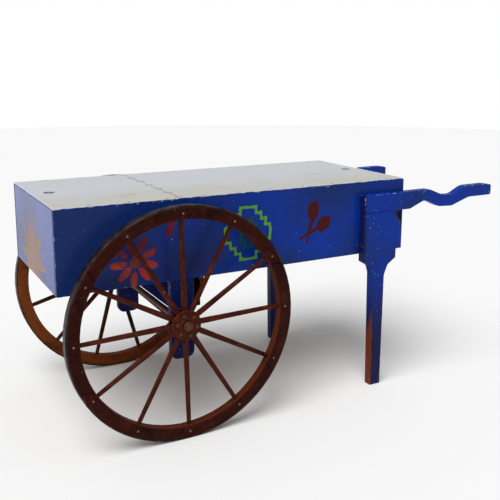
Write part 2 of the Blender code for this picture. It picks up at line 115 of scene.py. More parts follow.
def colour_of(name, code, description):
    """A colour property with that name, description and sRGB default."""
    return FloatVectorProperty(name=name, description=description, subtype="COLOR", size=3,
                               min=0.0, max=1.0, default=linear(code))


def length_of(name, metres, description):
    """A length property in metres."""
    return FloatProperty(name=name, description=description, unit="LENGTH", min=0.0,
                         precision=4, default=metres)


class CartPaint(bpy.types.PropertyGroup):
    """Colours of the cart's paints, woods and metals."""

    blue: colour_of("Blue", "032f90", "Blue enamel where it is fresh")
    # deep blue is also laid as painted shade: at the front of the side panels, and over the hangers
    # and bolster under the box
    blue_deep: colour_of("Deep blue", "142a60", "Blue enamel where it is thick or dirty")
    # plum darkens the enamel: as road grime, and as painted shade round the wheel and under the box
    plum: colour_of("Plum", "150b34", "Blue enamel soiled near the ground")
    # painted glare: this pale blue stands in for the sky reflected in the front panel's gloss
    glare_blue: colour_of("Glare blue", "7f92d0", "Blue enamel bleached by the sun")
    primer: colour_of("Primer", "9ea6bc", "Pale undercoat at knocked edges")
    deck_bright: colour_of("Bright deck", "d6d8d8", "Deck paint rubbed clean along its edges")
    deck: colour_of("Deck", "c1c5cb", "Off-white paint of the deck")
    deck_cream: colour_of("Aged deck", "bbbab3", "Deck paint that has yellowed")
    deck_dirt: colour_of("Deck dirt", "857e70", "Rain marks and nail stains on the deck")
    brown: colour_of("Brown", "300c06", "Brown oil paint of the wheels")
    brown_deep: colour_of("Deep brown", "120302", "Brown paint in the grain and at the joints")
    brown_worn: colour_of("Worn brown", "693117", "Brown paint rubbed thin over the wood")
    spoke_brown: colour_of("Spoke brown", "45190d", "Brown paint of spokes and hubs")
    # painted light: this lighter brown on the far wheel's rims stands in for sunlight falling on
    # that wheel
    brown_sunlit: colour_of("Sunlit brown", "743a16", "Brown paint bleached by the sun")
    # painted shadow: this black stands in for the deep shade behind the bracket under the handle
    shadow_black: colour_of("Shadow black", "0a0710", "Black grime in corners")
    bare_wood: colour_of("Bare wood", "642a0c", "Wood of the leg where its paint is gone")
    plug: colour_of("Rim plug", "8a6c52", "End grain of the plugs in the rim")
    plywood: colour_of("Plywood", "9c7a52", "Unpainted plywood inside the box")
    iron: colour_of("Iron", "1e2024", "Iron of the tyres")
    rust: colour_of("Rust", "3a2115", "Rust on iron and steel")
    steel: colour_of("Steel", "7d7a76", "Zinc-plated steel of nuts and bolts")
    tan: colour_of("Tan", "855827", "Painted star")
    orange: colour_of("Orange", "b0360e", "Flower petals where the paint is thick")
    crimson: colour_of("Crimson", "66100c", "Flower petals where the paint is thin")
    amber: colour_of("Amber", "7c3604", "Flower centre")
    lime: colour_of("Lime", "5a9a18", "Stepped diamond")
    bottle: colour_of("Bottle green", "184c1c", "Middle of the stepped diamond")
    maroon: colour_of("Maroon", "430605", "Painted sprig")


class CartSizes(bpy.types.PropertyGroup):
    """Sizes of the fasteners and of the marks left by wear."""

    nail_radius: length_of("Nail head", 0.0036, "Radius of a painted nail head")
    nail_height: length_of("Nail height", 0.0006, "Height of a nail head above its board")
    nail_pitch: length_of("Nail pitch", 0.072, "Distance between nails")
    screw_radius: length_of("Screw head", 0.0055, "Radius of a screw head on handles and legs")
    plug_radius: length_of("Rim plug", 0.0042, "Radius of a wooden plug in the rim")
    bolt_circle: length_of("Bolt circle", 0.0405, "Radius on which the hub bolts sit")
    bolt_radius: length_of("Bolt head", 0.0068, "Radius of a hub bolt's hexagon head")
    flange_face: length_of("Flange face", 0.0216, "Flange face from the wheel's middle plane")
    edge_wear: length_of("Edge wear", 0.0035, "Width of the rubbed edge of a painted board")
    bolt_count: IntProperty(name="Hub bolts", description="Bolts in one hub", default=6, min=3)


class CartStage(bpy.types.PropertyGroup):
    """Camera, floor and lights."""

    eye: FloatVectorProperty(name="Eye", description="Place of the camera", subtype="TRANSLATION",
                             size=3, default=(-1.6387, -2.8826, 1.4404))
    yaw: FloatProperty(name="Yaw", description="Turn to the right of the Y axis",
                       subtype="ANGLE", default=0.4986)
    pitch: FloatProperty(name="Pitch", description="Tilt of the view above level",
                         subtype="ANGLE", default=-0.1905)
    roll: FloatProperty(name="Roll", description="Roll of the view", subtype="ANGLE",
                        default=0.0028)
    lens: FloatProperty(name="Lens", description="Focal length in millimetres", default=53.42)
    shift: FloatProperty(name="Shift", description="Downward shift of the frame", default=-0.09)
    key: FloatProperty(name="Key light", description="Strength of the large soft key light",
                       default=2.75)
    softness: FloatProperty(name="Key softness", description="Angle that the key light spans",
                            subtype="ANGLE", default=math.radians(42.0))
    sky: FloatProperty(name="Surround", description="Strength of the studio's surround light",
                       default=0.50)
    backdrop: FloatProperty(name="Backdrop", description="Brightness of the bare backdrop",
                            default=1.0)
    floor: colour_of("Floor", "eeeeee", "Pale studio floor")
    floor_shade: colour_of("Floor shade", "dededc", "Faint clouds in the floor")


# ---------------------------------------------------------------- shader building

def add(tree, kind, inputs=None, out=0, stops=None, **settings):
    """Adds one node of that kind with its settings, links or values, and gives one output."""
    node = tree.nodes.new(kind)
    for name, value in settings.items():
        setattr(node, name, value)
    if stops:
        ramp = node.color_ramp
        while len(ramp.elements) < len(stops):
            ramp.elements.new(0.5)
        for element, (position, colour) in zip(ramp.elements, stops):
            element.position = position
            element.color = (*colour, 1.0)
    for socket, value in (inputs or {}).items():
        if isinstance(value, bpy.types.NodeSocket):
            tree.links.new(value, node.inputs[socket])
        else:
            node.inputs[socket].default_value = value
    return node.outputs[out]


def start(name):
    """A new material's tree and the Object coordinates that its patterns read."""
    material = bpy.data.materials.new(name)
    material.use_nodes = True
    tree = material.node_tree
    tree.nodes.clear()
    return material, tree, add(tree, "ShaderNodeTexCoord", out="Object")


def close(tree, colour, roughness, relief, depth, **constants):
    """Ends a tree in one Principled surface with its bump; constants go on its own sockets."""
    inputs = {"Base Color": colour, "Roughness": roughness}
    inputs["Normal"] = add(tree, "ShaderNodeBump",
                           {"Height": relief, "Distance": depth, "Strength": 0.7})
    inputs.update({key.replace("_", " "): value for key, value in constants.items()})
    surface = add(tree, "ShaderNodeBsdfPrincipled", inputs)
    tree.links.new(surface, tree.nodes.new("ShaderNodeOutputMaterial").inputs["Surface"])


def blend(tree, under, over, share):
    """Colour under with colour over laid on it by a share from 0 to 1."""
    under = under if isinstance(under, bpy.types.NodeSocket) else (*under, 1.0)
    over = over if isinstance(over, bpy.types.NodeSocket) else (*over, 1.0)
    return add(tree, MIX, {0: share, 6: under, 7: over}, out=2, data_type="RGBA")


def fade(tree, value, full, none):
    """A smooth share that is 1 where value is at full and 0 where it is at none."""
    return add(tree, RANGE, {"Value": value, "From Min": none, "From Max": full},
               interpolation_type="SMOOTHSTEP")


def grain(tree, place, size, detail=3.0, stretch=(1.0, 1.0, 1.0), roughness=0.55):
    """Noise with features of that size in metres, drawn out along the axes by stretch."""
    scaled = add(tree, MAPPING, {"Vector": place, "Scale": [1.0 / s for s in stretch]})
    return add(tree, NOISE, {"Vector": scaled, "Scale": 1.0 / size, "Detail": detail,
                             "Roughness": roughness})


def edge_distance(tree, place, low, high):
    """Distance from a point on a square board to its nearest edge. The point's distances to
    the nearest of each pair of faces are sorted, and the middle one is the answer."""
    parts = [add(tree, "ShaderNodeSeparateXYZ", {0: place}, out=axis) for axis in range(3)]
    near = []
    for part, a, b in zip(parts, low, high):
        off = add(tree, MATH, {0: part, 1: (a + b) / 2}, operation="SUBTRACT")
        off = add(tree, MATH, {0: off}, operation="ABSOLUTE")
        near.append(add(tree, MATH, {0: (b - a) / 2, 1: off}, operation="SUBTRACT"))
    least = add(tree, MATH, {0: near[0], 1: near[1]}, operation="MINIMUM")
    most = add(tree, MATH, {0: near[0], 1: near[1]}, operation="MAXIMUM")
    inner = add(tree, MATH, {0: most, 1: near[2]}, operation="MINIMUM")
    return add(tree, MATH, {0: least, 1: inner}, operation="MAXIMUM")


def strokes(tree, place, marks, flat_axis=1):
    """Brush marks as one field that is below 1 inside a mark. Each mark is an ellipse: the
    point is moved, turned and divided by the half sizes, and the least length counts."""
    field = None
    for across, up, half_length, half_width, turn in marks:
        centre, scale, angle = [0.0] * 3, [FLAT] * 3, [0.0] * 3
        flat = 1 - flat_axis
        centre[flat], centre[2] = across, up
        scale[flat], scale[2] = half_length, half_width
        angle[flat_axis] = -math.radians(turn) if flat_axis == 1 else math.radians(turn)
        local = add(tree, MAPPING, {"Vector": place, "Location": centre, "Rotation": angle,
                                    "Scale": scale}, vector_type="TEXTURE")
        size = add(tree, "ShaderNodeVectorMath", {0: local}, out="Value", operation="LENGTH")
        field = size if field is None else add(tree, MATH, {0: field, 1: size},
                                               operation="MINIMUM")
    return field


def stepped(tree, place, centre, halves):
    """A stepped diamond as a distance below 0 inside it: the least, over boxes with the same
    middle, of the larger of the two distances outside a box."""
    moved = add(tree, "ShaderNodeVectorMath", {0: place, 1: centre}, operation="SUBTRACT")
    moved = add(tree, "ShaderNodeVectorMath", {0: moved}, operation="ABSOLUTE")
    across = add(tree, "ShaderNodeSeparateXYZ", {0: moved}, out=0)
    up = add(tree, "ShaderNodeSeparateXYZ", {0: moved}, out=2)
    field = None
    for half_width, half_height in halves:
        wide = add(tree, MATH, {0: across, 1: half_width}, operation="SUBTRACT")
        tall = add(tree, MATH, {0: up, 1: half_height}, operation="SUBTRACT")
        box = add(tree, MATH, {0: wide, 1: tall}, operation="MAXIMUM")
        field = box if field is None else add(tree, MATH, {0: field, 1: box},
                                              operation="MINIMUM")
    return field


def star(tree, across, up, points, outer, inner):
    """A star as a field below 1 inside it. The angle is folded into half a point's wedge, and
    the star's side is then one straight line from the tip to the notch."""
    half = math.pi / points
    side = {0: add(tree, MATH, {0: up, 1: across}, operation="ARCTAN2"), 1: half}
    folded = add(tree, MATH, side, operation="PINGPONG")
    square = add(tree, MATH, {0: across, 1: across}, operation="MULTIPLY")
    total = add(tree, MATH, {0: up, 1: up, 2: square}, operation="MULTIPLY_ADD")
    radius = add(tree, MATH, {0: total}, operation="SQRT")
    along = add(tree, MATH, {0: folded}, operation="COSINE")
    beside = add(tree, MATH, {0: folded}, operation="SINE")
    lean = (outer - inner * math.cos(half)) / (outer * inner * math.sin(half))
    along = add(tree, MATH, {0: along, 1: 1.0 / outer}, operation="MULTIPLY")
    both = add(tree, MATH, {0: beside, 1: lean, 2: along}, operation="MULTIPLY_ADD")
    return add(tree, MATH, {0: both, 1: radius}, operation="MULTIPLY")


# ---------------------------------------------------------------- materials

def enamel(name, paint, sizes, box, stretch, marks=(), deep=0.34, wear=0.7, drift=None,
           shine=0.10):
    """Brushed enamel on plywood or pine: a hard gloss over faint brush lines, with darker
    clouds of grime, small pale chips, and undercoat showing where edges have been knocked.
    drift is (from, to) in metres along the board, over which painted shade at the front end,
    standing in for less light falling there, gives way to clean paint, and shine is the
    specular level of its gloss."""
    material, tree, place = start(name)
    local = add(tree, "ShaderNodeVectorMath", {0: place, 1: box[0]}, operation="SUBTRACT")
    clouds = grain(tree, place, 0.28, detail=4.0)
    brush = grain(tree, place, 0.006, detail=2.0, stretch=stretch)
    dirt_and_shade = fade(tree, clouds, 0.72, 0.72 - deep)
    # painted shade: the board darkens towards its front end over drift, where less light falls
    if drift:
        along = add(tree, "ShaderNodeSeparateXYZ", {0: local}, out=0)
        along = add(tree, MATH, {0: clouds, 1: 0.5, 2: along}, operation="MULTIPLY_ADD")
        dirt_and_shade = add(tree, MATH, {0: dirt_and_shade, 1: fade(tree, along, drift[0], drift[1])},
                   operation="MAXIMUM")
    colour = blend(tree, paint.blue, paint.blue_deep, dirt_and_shade)
    streak = add(tree, MATH, {0: fade(tree, brush, 0.75, 0.35), 1: 0.25}, operation="MULTIPLY")
    colour = blend(tree, colour, paint.blue_deep, streak)
    wobble = add(tree, NOISE, {"Vector": place, "Scale": 1 / 0.030, "Detail": 2.0}, out="Color")
    wobble = add(tree, "ShaderNodeVectorMath", {0: wobble, 1: (0.5, 0.5, 0.5)},
                 operation="SUBTRACT")
    wobble = add(tree, "ShaderNodeVectorMath", {0: wobble, "Scale": 0.014}, operation="SCALE")
    painted = add(tree, "ShaderNodeVectorMath", {0: local, 1: wobble}, operation="ADD")
    for mark in marks:
        colour = mark(tree, painted, colour, brush, paint)
    # pale chips a few millimetres across, scattered where the coarse noise peaks
    flecks = grain(tree, place, 0.009, detail=1.0)
    spread = grain(tree, place, 0.16, detail=2.0)
    chips = add(tree, MATH, {0: fade(tree, flecks, 0.755, 0.72),
                             1: fade(tree, spread, 0.60, 0.44)}, operation="MULTIPLY")
    edge = edge_distance(tree, place, *box)
    ragged = grain(tree, place, 0.022, detail=5.0, roughness=0.7)
    reach = add(tree, MATH, {0: fade(tree, ragged, 0.72, 0.46), 1: sizes.edge_wear * 2 * wear},
                operation="MULTIPLY")
    rubbed = add(tree, MATH, {0: reach, 1: edge}, operation="SUBTRACT")
    rubbed = fade(tree, rubbed, 0.0016, 0.0)
    bare = add(tree, MATH, {0: chips, 1: rubbed}, operation="MAXIMUM")
    bare = add(tree, MATH, {0: bare, 1: 0.75}, operation="MULTIPLY")
    colour = blend(tree, colour, paint.primer, bare)
    relief = add(tree, MATH, {0: brush, 1: bare}, operation="SUBTRACT")
    gloss = add(tree, RANGE, {"Value": clouds, "To Min": 0.22, "To Max": 0.38})
    close(tree, colour, gloss, relief, 0.0004, Specular_IOR_Level=shine, IOR=1.5)
    return material


def level(tree, field, edge, soft, brush, thin):
    """The share of a painted mark: 1 inside field = edge, with a soft rim, thinned by the
    brush lines."""
    share = fade(tree, field, edge - soft, edge + soft)
    lines = add(tree, RANGE, {"Value": brush, "To Min": 1.0, "To Max": 1.0 - thin})
    return add(tree, MATH, {0: share, 1: lines}, operation="MULTIPLY")


def star_mark(tree, place, colour, brush, paint):
    """The star on the front panel: a broad tan body with thin faded rays above it."""
    local = add(tree, "ShaderNodeVectorMath", {0: place, 1: (0.0, STAR[0], STAR[1])},
                operation="SUBTRACT")
    across = add(tree, "ShaderNodeSeparateXYZ", {0: local}, out=1)
    up = add(tree, "ShaderNodeSeparateXYZ", {0: local}, out=2)
    body = level(tree, star(tree, across, up, 10, 0.225, 0.098), 0.98, 0.06, brush, 0.2)
    rays = level(tree, star(tree, across, up, 20, 0.33, 0.085), 0.95, 0.16, brush, 0.6)
    faded = add(tree, MATH, {0: rays, 1: 0.40}, operation="MULTIPLY")
    share = add(tree, MATH, {0: body, 1: faded}, operation="MAXIMUM")
    return blend(tree, colour, paint.tan, share)


def flower_mark(tree, place, colour, brush, paint):
    """A plain nine-petal flower, each petal one stroke, with an amber middle and one loose
    petal above it."""
    petals = [LOOSE_PETAL]
    for i in range(9):
        angle = 2 * math.pi / 9 * i + 0.44
        reach = 0.064 + 0.006 * math.sin(2.3 * i)
        petals.append((FLOWER[0] + reach * math.cos(angle), FLOWER[1] + reach * math.sin(angle),
                       0.034, 0.0145 + 0.0015 * math.sin(1.7 * i), math.degrees(angle)))
    share = level(tree, strokes(tree, place, petals), 0.96, 0.14, brush, 0.2)
    height = add(tree, "ShaderNodeSeparateXYZ", {0: place}, out=2)
    tone = grain(tree, place, 0.035, detail=2.0)
    shade = add(tree, MATH, {0: tone, 1: 0.20, 2: height}, operation="MULTIPLY_ADD")
    petal = blend(tree, paint.orange, paint.crimson, fade(tree, shade, 0.27, 0.13))
    colour = blend(tree, colour, petal, share)
    middle = level(tree, strokes(tree, place, [(*FLOWER, 0.022, 0.024, 0.0)]), 0.95, 0.20,
                   brush, 0.2)
    return blend(tree, colour, paint.amber, middle)


def diamond_mark(tree, place, colour, brush, paint):
    """A stepped diamond: a lime outline about 11 mm wide round a dark green middle."""
    centre = (DIAMOND[0], 0.0, DIAMOND[1])
    outer = stepped(tree, place, centre,
                    [(0.036, 0.106), (0.058, 0.080), (0.080, 0.056), (0.102, 0.030)])
    line = level(tree, add(tree, MATH, {0: outer}, operation="ABSOLUTE"), 0.0054, 0.0012,
                 brush, 0.15)
    inner = stepped(tree, place, centre, [(0.016, 0.054), (0.034, 0.032)])
    ring = level(tree, add(tree, MATH, {0: inner}, operation="ABSOLUTE"), 0.0070, 0.0022,
                 brush, 0.45)
    colour = blend(tree, colour, paint.bottle, ring)
    return blend(tree, colour, paint.lime, line)


def sprig_mark(tree, place, colour, brush, paint):
    """A two-leaf sprig: two oval leaves on two short stems with a forked foot."""
    share = level(tree, strokes(tree, place, SPRIG), 0.98, 0.08, brush, 0.04)
    return blend(tree, colour, paint.maroon, share)


def wheel_shade_and_dirt(tree, place, colour, brush, paint):
    """Painted shade and road grime on the side where the wheel shades it, and a black painted
    shadow in the corner behind the bracket, under the handle.
    """
    # painted shade and road grime round the wheel
    shade_and_splash = fade(tree, strokes(tree, place, WHEEL_SHADE_AND_DIRT), 0.25, 1.15)
    shade_and_splash = add(tree, MATH, {0: shade_and_splash, 1: 0.50}, operation="MULTIPLY")
    colour = blend(tree, colour, paint.plum, shade_and_splash)
    # painted shadow: black in the corner behind the bracket, where the handle shades the side
    corner = fade(tree, strokes(tree, place, PAINTED_CORNER_SHADOW), 0.85, 1.05)
    return blend(tree, colour, paint.shadow_black, corner)


def painted_glare(tree, place, colour, brush, paint):
    """Painted glare on the front panel's glossy enamel: pale blue laid into the colour, palest
    towards the top of the panel.
    """
    height = add(tree, "ShaderNodeSeparateXYZ", {0: place}, out=2)
    height = add(tree, MATH, {0: brush, 1: 0.12, 2: height}, operation="MULTIPLY_ADD")
    share = add(tree, RANGE, {"Value": height, "From Max": 0.38, "To Min": 0.0,
                              "To Max": 0.36})
    return blend(tree, colour, paint.glare_blue, share)


def darker_foot(tree, place, colour, brush, paint):
    """Plum that darkens a leg from knee height down to the ground."""
    height = add(tree, "ShaderNodeSeparateXYZ", {0: place}, out=2)
    height = add(tree, MATH, {0: brush, 1: 0.08, 2: height}, operation="MULTIPLY_ADD")
    share = add(tree, MATH, {0: fade(tree, height, 0.20, 0.72), 1: 0.85}, operation="MULTIPLY")
    return blend(tree, colour, paint.plum, share)


def darker_front_end(tree, place, colour, brush, paint):
    """Plum laid over the first few millimetres of a board's front end."""
    along = add(tree, "ShaderNodeSeparateXYZ", {0: place}, out=0)
    share = add(tree, MATH, {0: fade(tree, along, 0.006, 0.012), 1: 0.75}, operation="MULTIPLY")
    return blend(tree, colour, paint.plum, share)


def shade_under_box(tree, place, colour, brush, paint):
    """Painted shade under the box: plum laid over the enamel, heavier in the brush lines."""
    share = add(tree, RANGE, {"Value": brush, "To Min": 0.45, "To Max": 0.75})
    return blend(tree, colour, paint.plum, share)


def worn_edge(tree, place, colour, brush, paint):
    """The front edge of the leg, where the paint has gone from knee height down."""
    front = add(tree, "ShaderNodeSeparateXYZ", {0: place}, out=0)
    height = add(tree, "ShaderNodeSeparateXYZ", {0: place}, out=2)
    depth = add(tree, "ShaderNodeSeparateXYZ", {0: place}, out=1)
    slope = add(tree, MATH, {0: height, 1: -WORN_LEAN, 2: WORN_FRONT}, operation="MULTIPLY_ADD")
    inside = add(tree, MATH, {0: front, 1: slope}, operation="SUBTRACT")
    ragged = add(tree, MATH, {0: brush, 1: 0.06, 2: height}, operation="MULTIPLY_ADD")
    ragged = add(tree, MATH, {0: depth, 1: 3.0, 2: ragged}, operation="MULTIPLY_ADD")
    share = add(tree, MATH, {0: fade(tree, inside, 0.001, 0.004),
                             1: fade(tree, ragged, 0.33, 0.40)}, operation="MULTIPLY")
    return blend(tree, colour, paint.bare_wood, share)


def dark_end(tree, place, colour, brush, paint):
    """Dark brown over the rear part of the bolster."""
    along = add(tree, "ShaderNodeSeparateXYZ", {0: place}, out=0)
    return blend(tree, colour, paint.brown_deep, fade(tree, along, 0.080, 0.076))


def deck_paint(paint, box, seam):
    """Off-white floor paint on thin hardboard: chalky and nearly matt, yellowed in clouds,
    with rain marks, dark nail heads along its edges and seam, and a brighter rubbed edge.
    The upright edges took the box's blue."""
    material, tree, place = start("floor_paint_on_hardboard")
    clouds = grain(tree, place, 0.35, detail=5.0, roughness=0.6)
    fine = grain(tree, place, 0.012, detail=3.0, stretch=(5.0, 1.0, 1.0))
    across = add(tree, "ShaderNodeSeparateXYZ", {0: place}, out=1)
    along = add(tree, "ShaderNodeSeparateXYZ", {0: place}, out=0)
    near = add(tree, MATH, {0: add(tree, MATH, {0: clouds, 1: 0.7}, operation="MULTIPLY"),
                            1: across}, operation="SUBTRACT")
    colour = blend(tree, paint.deck, paint.deck_cream, fade(tree, near, 0.70, 0.28))
    stain = grain(tree, place, 0.07, detail=6.0, roughness=0.65)
    stain = add(tree, MATH, {0: fade(tree, stain, 0.80, 0.56), 1: 0.34}, operation="MULTIPLY")
    colour = blend(tree, colour, paint.deck_dirt, stain)
    lines = add(tree, MATH, {0: fade(tree, fine, 0.80, 0.40), 1: 0.14}, operation="MULTIPLY")
    colour = blend(tree, colour, paint.deck_dirt, lines)
    smudge = strokes(tree, add(tree, "ShaderNodeCombineXYZ", {0: along, 2: across}),
                     [(-0.689, -0.172, 0.030, 0.011, 12.0), (-0.734, -0.205, 0.024, 0.008, -8.0)])
    smudge = add(tree, MATH, {0: fade(tree, smudge, 0.2, 1.3), 1: 0.5}, operation="MULTIPLY")
    colour = blend(tree, colour, paint.deck_dirt, smudge)
    low, high = box
    mid_y, half_y = (low[1] + high[1]) / 2, (high[1] - low[1]) / 2
    off = add(tree, MATH, {0: across, 1: mid_y}, operation="SUBTRACT")
    off = add(tree, MATH, {0: off}, operation="ABSOLUTE")
    heads = None
    # nail heads: a row 9 mm inside each long edge, and one each side of the seam
    rows = ((add(tree, MATH, {0: off, 1: half_y - 0.009}, operation="SUBTRACT"), along, 0.150),
            (add(tree, MATH, {0: add(tree, MATH, {0: add(tree, MATH, {0: along, 1: seam},
                                                           operation="SUBTRACT")},
                                     operation="ABSOLUTE"), 1: 0.011}, operation="SUBTRACT"),
             across, 0.105))
    for side, run, pitch in rows:
        beat = add(tree, MATH, {0: run, 1: pitch / 2}, operation="PINGPONG")
        total = add(tree, MATH, {0: beat, 1: beat}, operation="MULTIPLY")
        total = add(tree, MATH, {0: side, 1: side, 2: total}, operation="MULTIPLY_ADD")
        total = add(tree, MATH, {0: total}, operation="SQRT")
        heads = total if heads is None else add(tree, MATH, {0: heads, 1: total},
                                                operation="MINIMUM")
    halo = add(tree, MATH, {0: fade(tree, heads, 0.0, 0.016), 1: 0.30}, operation="MULTIPLY")
    colour = blend(tree, colour, paint.rust, halo)
    colour = blend(tree, colour, paint.rust, fade(tree, heads, 0.0030, 0.0042))
    gap = add(tree, MATH, {0: along, 1: seam}, operation="SUBTRACT")
    gap = add(tree, MATH, {0: gap}, operation="ABSOLUTE")
    colour = blend(tree, colour, paint.rust, fade(tree, gap, 0.0009, 0.0021))
    edge = edge_distance(tree, place, *box)
    bright = add(tree, MATH, {0: fade(tree, edge, 0.0, 0.006), 1: 0.5}, operation="MULTIPLY")
    colour = blend(tree, colour, paint.deck_bright, bright)
    # below the top face's arris the paint is blue, with the arris itself rubbed ragged
    depth = add(tree, "ShaderNodeSeparateXYZ", {0: place}, out=2)
    depth = add(tree, MATH, {0: high.z, 1: depth}, operation="SUBTRACT")
    ragged = grain(tree, place, 0.020, detail=4.0)
    depth = add(tree, MATH, {0: ragged, 1: -0.0120, 2: depth}, operation="MULTIPLY_ADD")
    colour = blend(tree, colour, paint.blue, fade(tree, depth, -0.0022, -0.0034))
    relief = add(tree, MATH, {0: fine, 1: clouds}, operation="ADD")
    rough = add(tree, RANGE, {"Value": clouds, "To Min": 0.42, "To Max": 0.66})
    close(tree, colour, rough, relief, 0.0005, Specular_IOR_Level=0.4, IOR=1.48)
    return material


def polar(tree, place, centre):
    """Place as (metres along the arc, metres from the wheel's middle, metres across), so
    that a grain can follow the rim or the spokes."""
    local = add(tree, "ShaderNodeVectorMath", {0: place, 1: centre}, operation="SUBTRACT")
    x = add(tree, "ShaderNodeSeparateXYZ", {0: local}, out=0)
    y = add(tree, "ShaderNodeSeparateXYZ", {0: local}, out=1)
    z = add(tree, "ShaderNodeSeparateXYZ", {0: local}, out=2)
    square = add(tree, MATH, {0: x, 1: x}, operation="MULTIPLY")
    total = add(tree, MATH, {0: z, 1: z, 2: square}, operation="MULTIPLY_ADD")
    radius = add(tree, MATH, {0: total}, operation="SQRT")
    angle = add(tree, MATH, {0: z, 1: x}, operation="ARCTAN2")
    arc = add(tree, MATH, {0: angle, 1: 0.43}, operation="MULTIPLY")
    return add(tree, "ShaderNodeCombineXYZ", {0: arc, 1: radius, 2: y}), radius


def brown_oil_paint(name, paint, centre, stretch, edges, light=0.4, base=None):
    """Brown oil paint on ash: dull gloss, dark in the open grain, rubbed to a warm brown on
    the arrises and the high spots, with tiny pale knocks."""
    material, tree, place = start(name)
    wheel, radius = polar(tree, place, centre)
    fibre = grain(tree, wheel, 0.0045, detail=4.0, stretch=stretch, roughness=0.6)
    patches = grain(tree, wheel, 0.10, detail=4.0)
    colour = blend(tree, base or paint.brown, paint.brown_deep, fade(tree, patches, 0.80, 0.46))
    dark = add(tree, MATH, {0: fade(tree, fibre, 0.72, 0.40), 1: 0.55}, operation="MULTIPLY")
    colour = blend(tree, colour, paint.brown_deep, dark)
    worn = grain(tree, wheel, 0.045, detail=5.0, roughness=0.65)
    worn = add(tree, MATH, {0: fade(tree, worn, 0.78, 0.46), 1: light}, operation="MULTIPLY")
    for value, width in edges:
        off = add(tree, MATH, {0: radius, 1: value}, operation="SUBTRACT")
        off = add(tree, MATH, {0: off}, operation="ABSOLUTE")
        rub = add(tree, MATH, {0: fade(tree, off, 0.0, width), 1: 0.40}, operation="MULTIPLY")
        worn = add(tree, MATH, {0: worn, 1: rub}, operation="MAXIMUM")
    colour = blend(tree, colour, paint.brown_worn, worn)
    flecks = grain(tree, place, 0.008, detail=1.0)
    knocks = add(tree, MATH, {0: fade(tree, flecks, 0.81, 0.78), 1: 0.45}, operation="MULTIPLY")
    colour = blend(tree, colour, paint.primer, knocks)
    rough = add(tree, RANGE, {"Value": fibre, "To Min": 0.40, "To Max": 0.62})
    close(tree, colour, rough, fibre, 0.0006, Specular_IOR_Level=0.06, IOR=1.5)
    return material


def rusty_iron(name, paint, base, size, share):
    """Hot-rolled iron: grey and half dull, pitted, with brown rust in clouds."""
    material, tree, place = start(name)
    pits = grain(tree, place, size, detail=5.0, roughness=0.65)
    clouds = grain(tree, place, size * 9, detail=4.0)
    rust = fade(tree, clouds, 0.62 - share * 0.2, 0.42 - share * 0.2)
    rust = add(tree, MATH, {0: rust, 1: fade(tree, pits, 0.62, 0.30)}, operation="MULTIPLY")
    colour = blend(tree, base, paint.rust, rust)
    metal = add(tree, RANGE, {"Value": rust, "To Min": 0.9, "To Max": 0.15})
    rough = add(tree, RANGE, {"Value": pits, "To Min": 0.34, "To Max": 0.62})
    close(tree, colour, rough, pits, 0.0004, Metallic=metal)
    return material


def bare_plywood(name, paint, base):
    """Unpainted plywood or pine: warm, matt, with grain lines a few millimetres apart."""
    material, tree, place = start(name)
    lines = grain(tree, place, 0.007, detail=4.0, stretch=(18.0, 1.0, 1.0), roughness=0.6)
    patches = grain(tree, place, 0.12, detail=3.0)
    colour = blend(tree, base, paint.brown_deep,
                   add(tree, MATH, {0: fade(tree, lines, 0.75, 0.35), 1: 0.5},
                       operation="MULTIPLY"))
    colour = blend(tree, colour, paint.brown_worn,
                   add(tree, MATH, {0: fade(tree, patches, 0.7, 0.4), 1: 0.4},
                       operation="MULTIPLY"))
    rough = add(tree, RANGE, {"Value": lines, "To Min": 0.60, "To Max": 0.80})
    close(tree, colour, rough, lines, 0.0005, Specular_IOR_Level=0.3, IOR=1.5)
    return material


def wear(nodes, material):
    """Gives CAD nodes a material in every slot."""
    for name in nodes:
        mesh = NODES[name].data
        if not mesh.materials:
            mesh.materials.append(material)
        for index in range(len(mesh.materials)):
            mesh.materials[index] = material


# ---------------------------------------------------------------- shapes

def turned(profile, steps, hexagon=False):
    """A turned head: point (t, a) is (r(t) cos a, r(t) sin a, h(t)) for the profile's radius r
    and height h. A hexagon divides r by the cosine of a's distance from the nearest flat."""
    radius, height = np.array(profile, float).T
    angle = np.linspace(0.0, 2 * math.pi, steps, endpoint=False)
    reach = np.ones_like(angle)
    if hexagon:
        sixth = math.pi / 3
        reach = math.cos(sixth / 2) / np.cos(np.mod(angle, sixth) - sixth / 2)
    ring = radius[:, None] * reach
    points = np.stack([ring * np.cos(angle), ring * np.sin(angle),
                       np.broadcast_to(height[:, None], ring.shape)], axis=-1).reshape(-1, 3)
    index = np.arange(steps)
    after = np.roll(index, -1)
    row = np.arange(len(profile) - 1)[:, None] * steps
    quads = np.stack([row + index, row + after, row + steps + after, row + steps + index],
                     axis=-1).reshape(-1, 4)
    caps = [index[::-1].tolist(), (index + steps * (len(profile) - 1)).tolist()]
    return points, quads, caps


def repeated(shape, places):
    """Copies of one shape, each moved by its own 4 by 4 matrix."""
    points, quads, caps = shape
    places = np.array(places, float)
    moved = np.einsum("nij,kj->nki", places[:, :3, :3], points) + places[:, None, :3, 3]
    shifts = np.arange(len(places)) * len(points)
    faces = (quads[None] + shifts[:, None, None]).reshape(-1, 4).tolist()
    for cap in caps:
        faces += (np.array(cap)[None] + shifts[:, None]).tolist()
    return moved.reshape(-1, 3), faces


def piece(name, points, faces, material, body, smooth=False):
    """One closed mesh object at the origin that rides on a body."""
    mesh = bpy.data.meshes.new(name)
    mesh.from_pydata(points.tolist(), [], faces)
    mesh.polygons.foreach_set("use_smooth", np.full(len(faces), smooth))
    mesh.materials.append(material)
    mesh.update()
    made = bpy.data.objects.new(name, mesh)
    bpy.context.scene.collection.objects.link(made)
    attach(made, body)
    return made


def facing(point, outward, spin=0.0):
    """The matrix that stands a head at a point with its top towards outward."""
    turn = Vector(outward).to_track_quat("Z", "Y").to_matrix().to_4x4()
    return Matrix.Translation(point) @ turn @ Matrix.Rotation(spin, 4, "Z")


# ---------------------------------------------------------------- operators

